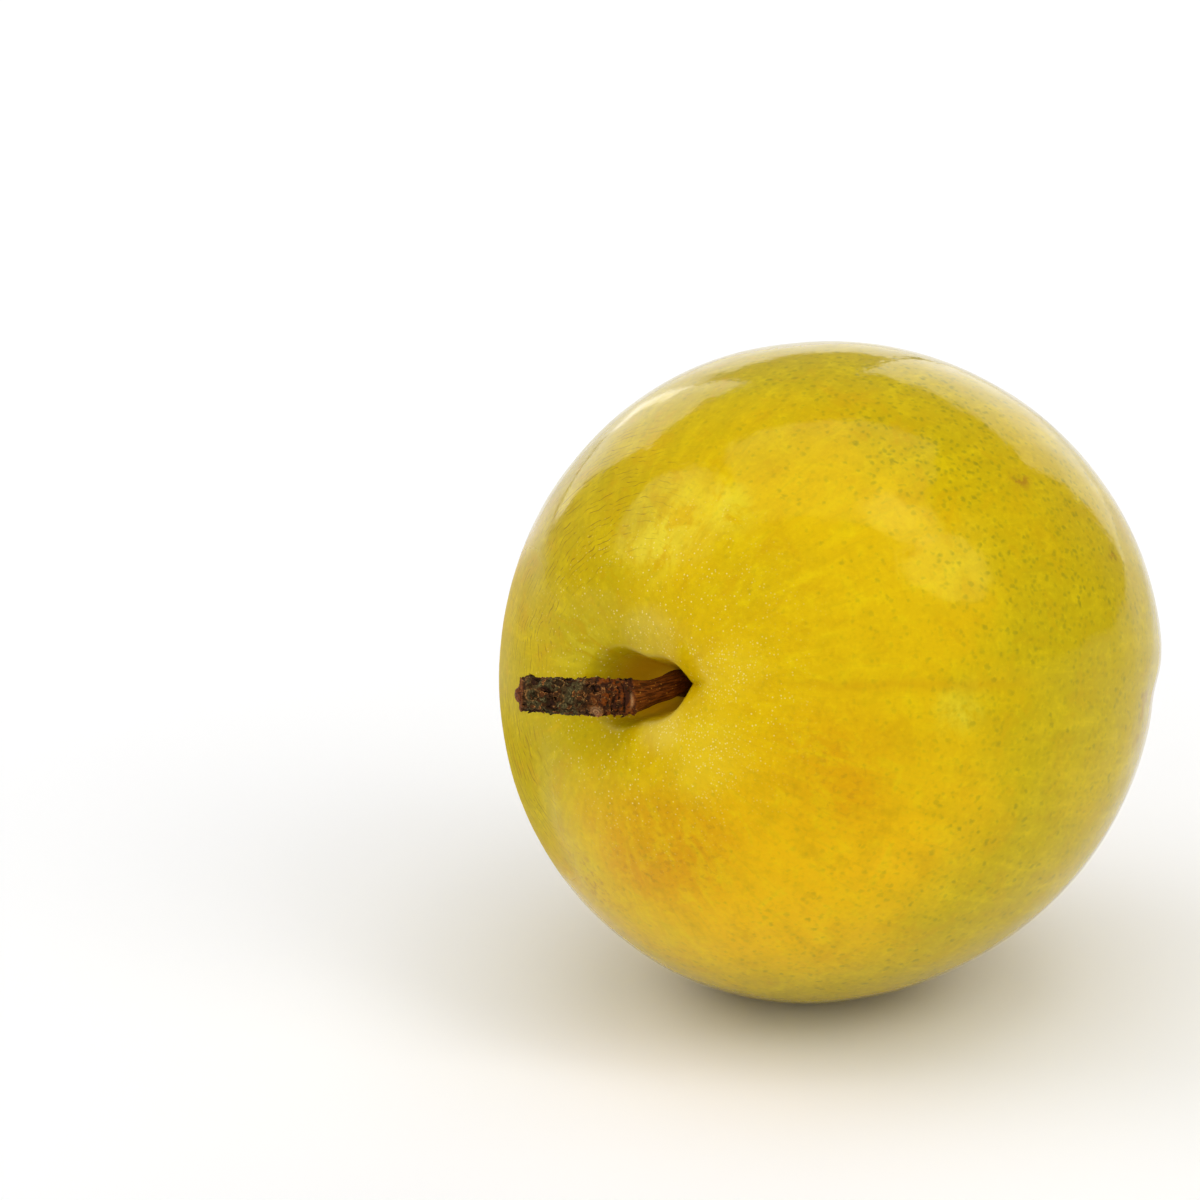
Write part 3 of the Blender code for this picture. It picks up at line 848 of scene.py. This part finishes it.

    # Hairlines round the cavity; pale grains of wax in and beside it, laid on also as painted glints; a
    # painted highlight along the lip; and painted warm shade down the pit
    circling = theta * 330.0 + (noise(way, 4.2, 3.0, 0.65) - 0.5) * 44.0
    broken = noise(joined(cos_phi * 4.0, sin_phi * 4.0, theta * 46.0), 1.8, 3.0, 0.6)
    hair = rise(maths("SINE", circling), 0.70, 1.0) * rise(broken, 0.46, 0.60)
    hair = hair * (patch(loose, 38, 134, 0.26, 0.62) + patch(loose, 42, -155, 0.1, 0.4))
    hair = hair * rise(theta, 0.30, 0.46)
    limb = patch(loose, 42, -163, 0.02, 0.34) * rise(maths("SINE", circling * 0.6), -0.2, 0.9)
    hair += limb * rise(broken, 0.44, 0.62) * 0.55
    lay(hair * 0.95, (0.32, 0.19, 0.008))
    near_stem = rise(theta + (cloudy - 0.5) * 0.30, 0.70, 0.22)
    # Pale specks near the stem: grains of wax, and painted glints
    grain, grain_chance = dots(place, 3300.0, 0.12, 0.32)
    clump = rise(noise(place, 700.0, 2.0, 0.6), 0.36, 0.58)
    grain = grain * rise(grain_chance, 0.25, 0.90) * near_stem * (0.15 + clump * 1.1)
    # Pale patches beside the pit: dust, with painted glints strewn over them
    dust_and_glints = patch(loose, 19, -42, 0.03, 0.19) + patch(loose, 20, 2, 0.02, 0.14) * 0.8
    dust_and_glints += patch(way, 9.5, -55, 0.02, 0.09) * 0.8
    # A pale line on the crest of the pit's lip: wax dust, and a painted highlight
    lip_dust_and_highlight = patch(way, 7.5, 75, 0.06, 0.14) + patch(way, 8, -60, 0.04, 0.12)
    lip_dust_and_highlight = graph.bell(pit, 0.05, 0.06) * lip_dust_and_highlight
    wax_powder_and_glints, powder_chance = dots(place, 4800.0, 0.15, 0.46)
    wax_powder_and_glints = wax_powder_and_glints * rise(powder_chance, 0.35, 0.9) * rise(clump, 0.1, 0.9)
    lay(dust_and_glints * 0.30, (0.90, 0.66, 0.03))
    lay(grain * 0.85 + wax_powder_and_glints * dust_and_glints * 0.95 + lip_dust_and_highlight * (0.30 + wax_powder_and_glints * 0.6), settings.pale)
    # Orange-brown down the pit: painted warm shade on its walls and floor
    lay(rise(pit, 0.10, 0.80) * 0.85, (0.74, 0.40, 0.004))

    dull = patch(loose, 40, 178, 0.15, 0.55) + patch(loose, 46, -150, 0.1, 0.4)
    rough = 0.05 + mottle * 0.06 + pit * 0.3 + near_stem * 0.1 + dull * 0.5
    height = noise(place, 270.0, 1.0, 0.4) * 0.9 + mottle * 0.14 + grainy * 0.10
    return graph.finish(rough, height, 0.00010)


def bark_material(settings):
    """Stalk and bark by the stem's own masks: dark in the cracks, tan on torn edges, grey on the crust."""
    graph = new_graph("stem_bark", 0.16, (1.0, 0.55, 0.20))
    lay, mix, rise, noise = graph.lay, graph.mix, graph.rise, graph.noise
    dots, joined = graph.dots, graph.joined
    place = graph.fruit_place()
    names = ("relief", "bark", "crust", "ring", "pale", "along", "torn", "round_x", "round_y")
    relief, barky, crust, ring, bare_scar, along, torn, round_x, round_y = map(graph.attribute, names)
    fine = noise(place, 5200.0, 4.0, 0.65)
    coarse = noise(place, 1300.0, 4.0, 0.6)
    redder = rise(along + (coarse - 0.5) * 0.3, 0.66, 0.50)
    graph.colour = mix(redder, settings.bark, (0.165, 0.038, 0.005))
    lay(rise(coarse, 0.42, 0.54) * 0.85, (0.022, 0.008, 0.007))
    lay(rise(relief + (fine - 0.5) * 0.14, 0.00, -0.12), (0.007, 0.003, 0.002))
    lay(rise(relief + (fine - 0.5) * 0.30, 0.08, 0.19) * 0.75, settings.edge)

    # The grey crust
    grey = mix(rise(fine, 0.50, 0.66), (0.050, 0.040, 0.016), settings.lichen)
    grey = mix(rise(relief + (fine - 0.5) * 0.1, 0.13, 0.03) * 0.95, grey, (0.010, 0.007, 0.003))
    grey = mix(rise(coarse, 0.50, 0.60) * 0.8, grey, (0.060, 0.030, 0.011))
    lay(crust, grey)
    lay(ring * rise(fine, 0.42, 0.62) * 0.5, settings.edge)

    # The bare stalk
    lengthwise = joined(round_x * 2.6, round_y * 2.6, along * 7.0)
    fibres = noise(lengthwise, 2.4, 4.0, 0.65)
    bare = mix(rise(fibres, 0.44, 0.58) * 0.9, settings.stalk, (0.034, 0.008, 0.002))
    bare = mix(rise(fibres, 0.42, 0.28) * 0.7, bare, (0.42, 0.150, 0.012))
    lenticel, chance = dots(place, 3000.0, 0.10, 0.26)
    bare = mix(lenticel * rise(chance, 0.55, 0.75) * 0.75, bare, (0.42, 0.17, 0.02))
    # Near black towards the root, down in the pit: painted shade
    bare = mix(rise(along, 0.20, 0.05) * 0.75, bare, (0.022, 0.007, 0.003))

    graph.colour = mix(barky, bare, graph.colour)
    lay(bare_scar * rise(fine, 0.20, 0.48) * 0.85, (0.44, 0.23, 0.095))
    lay(torn * rise(fine, 0.35, 0.6) * 0.8, (0.30, 0.095, 0.030))
    rough = 0.50 + barky * rise(coarse, 0.40, 0.55) * 0.3 + (fine - 0.5) * 0.2
    return graph.finish(rough, fine * 0.6 + coarse * 0.5 + fibres * 0.4, 0.00008)


def wood_material(settings):
    """The reddish wood of the stub, darker in its pits."""
    graph = new_graph("stub_wood", 0.2, (1.0, 0.75, 0.5))
    place = graph.fruit_place()
    fine = graph.noise(place, 4200.0, 4.0, 0.65)
    graph.colour = graph.mix(graph.rise(fine, 0.36, 0.60), (0.050, 0.014, 0.006), (0.230, 0.062, 0.018))
    graph.lay(graph.rise(fine, 0.60, 0.74) * 0.7, settings.edge)
    return graph.finish(0.55 + fine * 0.25, fine, 0.00010)


def scale_material(settings):
    """Loose plates of bark: brown, with tan where they are worn thin."""
    graph = new_graph("bark_scales", 0.15, (1.0, 0.6, 0.25))
    place = graph.fruit_place()
    rim = graph.attribute("rim")
    patchy = graph.noise(place, 1100.0, 3.0, 0.6)
    fine = graph.noise(place, 5200.0, 4.0, 0.65)
    graph.colour = graph.mix(graph.rise(patchy, 0.40, 0.62), (0.022, 0.011, 0.005), (0.095, 0.030, 0.009))
    worn = graph.rise(rim + (fine - 0.5) * 1.6 + (patchy - 0.5) * 2.4, 0.92, 1.20)
    graph.lay(worn * 0.7, settings.edge)
    graph.lay(graph.rise(fine, 0.44, 0.30) * 0.8, (0.014, 0.006, 0.003))
    return graph.finish(0.6 + fine * 0.2, fine, 0.00005)


def floor_material(settings):
    """A plain pale matt floor, with a trace of unevenness."""
    graph = new_graph("floor", 0.2)
    place = graph.node("ShaderNodeTexCoord", output="Object")
    shade = graph.noise(place, 6.0, 2.0)
    darker = [0.95 * each for each in settings.floor]
    graph.feed("Base Color", graph.mix(shade * 0.15, settings.floor, darker))
    graph.feed("Roughness", 0.7 + shade * 0.1)
    return graph.owner


# Stage


# Soft panels: name, direction from the fruit, distance, width, height, strength, shape
PANELS = (
    ("back_panel", (-0.085, 0.99, 0.10), 1.3, 0.56, 0.36, 0.95, "RECTANGLE"),
    ("back_right_panel", (0.43, 0.86, 0.27), 1.3, 0.86, 0.84, 1.38, "RECTANGLE"),
    ("back_left_panel", (-0.40, 0.88, 0.26), 1.3, 0.54, 0.68, 1.35, "RECTANGLE"),
    ("key_panel", (0.58, -0.40, 0.71), 1.3, 0.64, 0.60, 1.85, "ELLIPSE"),
    ("upper_key_panel", (0.34, -0.20, 0.92), 1.3, 0.34, 0.56, 2.0, "ELLIPSE"),
    ("left_panel", (-0.72, 0.10, 0.67), 1.3, 1.0, 0.9, 1.1, "ELLIPSE"),
    ("top_panel", (0.0, 0.10, 1.0), 1.4, 1.3, 1.1, 1.15, "RECTANGLE"),
)
FRUIT_ASIDE = 223 / 12000  # metres that the fruit's centre is right of the picture's middle
FRUIT_BELOW = 81 / 12000  # and below it
SENSOR_WIDTH = 36


def soft_panel(context, name, way, distance, width, height, strength, shape):
    """A soft light that stands off in the given direction and faces the fruit."""
    light = bpy.data.lights.new(name, "AREA")
    light.shape = shape
    light.size, light.size_y = width, height
    light.energy = strength * width * height * math.pi
    lamp = bpy.data.objects.new(name, light)
    way = Vector(way).normalized()
    lamp.location = CENTRE + way * distance
    lamp.rotation_euler = way.to_track_quat("Z", "Y").to_euler()
    context.collection.objects.link(lamp)


def floor_surface():
    """A flat square, wide enough to fill the view."""
    x, y = np.meshgrid(np.linspace(-1.6, 1.6, 9), np.linspace(-1.6, 1.6, 9), indexing="ij")
    return np.stack([x, y, np.zeros_like(x)], axis=-1)


def build_floor(context, settings):
    points = floor_surface()
    rows, columns = points.shape[:2]
    corner = (np.arange(rows - 1)[:, None] * columns + np.arange(columns - 1)).ravel()
    faces = np.stack([corner, corner + columns, corner + columns + 1, corner + 1], axis=-1)
    mesh = bpy.data.meshes.new("floor")
    mesh.from_pydata(points.reshape(-1, 3).tolist(), [], faces.tolist())
    mesh.materials.append(floor_material(settings))
    floor = bpy.data.objects.new("floor", mesh)
    context.collection.objects.link(floor)


def place_camera(context, settings):
    """Looks down at the fruit by the lean of its cheek, with the fruit right of and below the middle."""
    right = Vector((1, 0, 0))
    up = Vector((0, math.sin(CHEEK_LEAN), math.cos(CHEEK_LEAN)))
    back = Vector((0, -math.cos(CHEEK_LEAN), math.sin(CHEEK_LEAN)))
    camera = bpy.data.cameras.new("camera")
    camera.lens = settings.lens
    camera.sensor_width = SENSOR_WIDTH
    camera.clip_start = 0.05
    view = bpy.data.objects.new("camera", camera)
    aside = up * FRUIT_BELOW - right * FRUIT_ASIDE
    turned = Matrix((right, up, back)).transposed()
    view.matrix_world = Matrix.Translation(CENTRE + back * settings.distance + aside) @ turned.to_4x4()
    context.collection.objects.link(view)
    context.scene.camera = view


# Operators


class MakeSkin(bpy.types.Operator):
    """Build the skin of the fruit, in place of the plain solid"""

    bl_idname = "plum.make_skin"
    bl_label = "Skin"

    def execute(self, context):
        settings = context.scene.plum_skin
        points, masks = skin_surface(settings)
        make_piece(context, "plum_skin", points, skin_material(settings), "fruit", masks)
        return {"FINISHED"}


class MakeStem(bpy.types.Operator):
    """Build the stalk and its bark, in place of the plain solid"""

    bl_idname = "plum.make_stem"
    bl_label = "Stem"

    def execute(self, context):
        settings = context.scene.plum_stem
        points, masks = stem_surface(settings)
        make_piece(context, "stem_bark", points, bark_material(settings), "stem", masks)
        return {"FINISHED"}


class MakeScales(bpy.types.Operator):
    """Strew the loose plates of bark over the stem"""

    bl_idname = "plum.make_scales"
    bl_label = "Bark scales"

    def execute(self, context):
        settings = context.scene.plum_stem
        points, masks = bark_scales(settings)
        finish = scale_material(settings)
        make_piece(context, "bark_scales", points, finish, masks=masks, smooth=False)
        return {"FINISHED"}


class MakeStub(bpy.types.Operator):
    """Set the end of the wood into the cut bark"""

    bl_idname = "plum.make_stub"
    bl_label = "Stub"

    def execute(self, context):
        settings = context.scene.plum_stem
        make_piece(context, "stem_stub", stub_surface(), wood_material(settings))
        return {"FINISHED"}


class MakeStyleTip(bpy.types.Operator):
    """Put the dry tip of the style on the far end of the fruit"""

    bl_idname = "plum.make_style_tip"
    bl_label = "Style tip"

    def execute(self, context):
        points = style_tip_surface(context.scene.plum_skin)
        finish = bpy.data.materials.get("stub_wood") or wood_material(context.scene.plum_stem)
        make_piece(context, "style_tip", points, finish)
        return {"FINISHED"}


class MakeStage(bpy.types.Operator):
    """Lay the floor, and set up the light and the camera"""

    bl_idname = "plum.make_stage"
    bl_label = "Stage"

    def execute(self, context):
        settings = context.scene.plum_stage
        build_floor(context, settings)
        world = bpy.data.worlds.new("room")
        graph = Graph(world, "Background", Color=(1, 1, 1, 1))
        facing = graph.node("ShaderNodeTexCoord", output="Generated")
        front = graph.rise(graph.split(facing)[1], 0.35, -0.60)
        graph.feed("Strength", (0.30 + front * 0.75) * settings.room_light)
        context.scene.world = world
        for name, way, distance, width, height, strength, shape in PANELS:
            soft_panel(context, name, way, distance, width, height, strength * settings.panels, shape)
        context.scene.view_settings.view_transform = "Standard"
        place_camera(context, settings)
        return {"FINISHED"}


class PlumPanel(bpy.types.Panel):
    """Lists what builds the plum"""

    bl_idname = "VIEW3D_PT_plum"
    bl_label = "Plum"
    bl_space_type = "VIEW_3D"
    bl_region_type = "UI"
    bl_category = "Plum"

    def draw(self, context):
        for group in (context.scene.plum_skin, context.scene.plum_stem, context.scene.plum_stage):
            box = self.layout.box()
            for name in group.__annotations__:
                box.prop(group, name)
        for operator in OPERATORS:
            self.layout.operator(operator.bl_idname)


OPERATORS = (MakeSkin, MakeStem, MakeScales, MakeStub, MakeStyleTip, MakeStage)
CLASSES = (SkinSettings, StemSettings, StageSettings, *OPERATORS, PlumPanel)


def register():
    for each in CLASSES:
        bpy.utils.register_class(each)
    bpy.types.Scene.plum_skin = PointerProperty(type=SkinSettings)
    bpy.types.Scene.plum_stem = PointerProperty(type=StemSettings)
    bpy.types.Scene.plum_stage = PointerProperty(type=StageSettings)


def unregister():
    del bpy.types.Scene.plum_skin
    del bpy.types.Scene.plum_stem
    del bpy.types.Scene.plum_stage
    for each in reversed(CLASSES):
        bpy.utils.unregister_class(each)


def main():
    register()
    bpy.ops.plum.make_skin()
    bpy.ops.plum.make_stem()
    bpy.ops.plum.make_scales()
    bpy.ops.plum.make_stub()
    bpy.ops.plum.make_style_tip()
    bpy.ops.plum.make_stage()


if __name__ == "__main__":
    main()
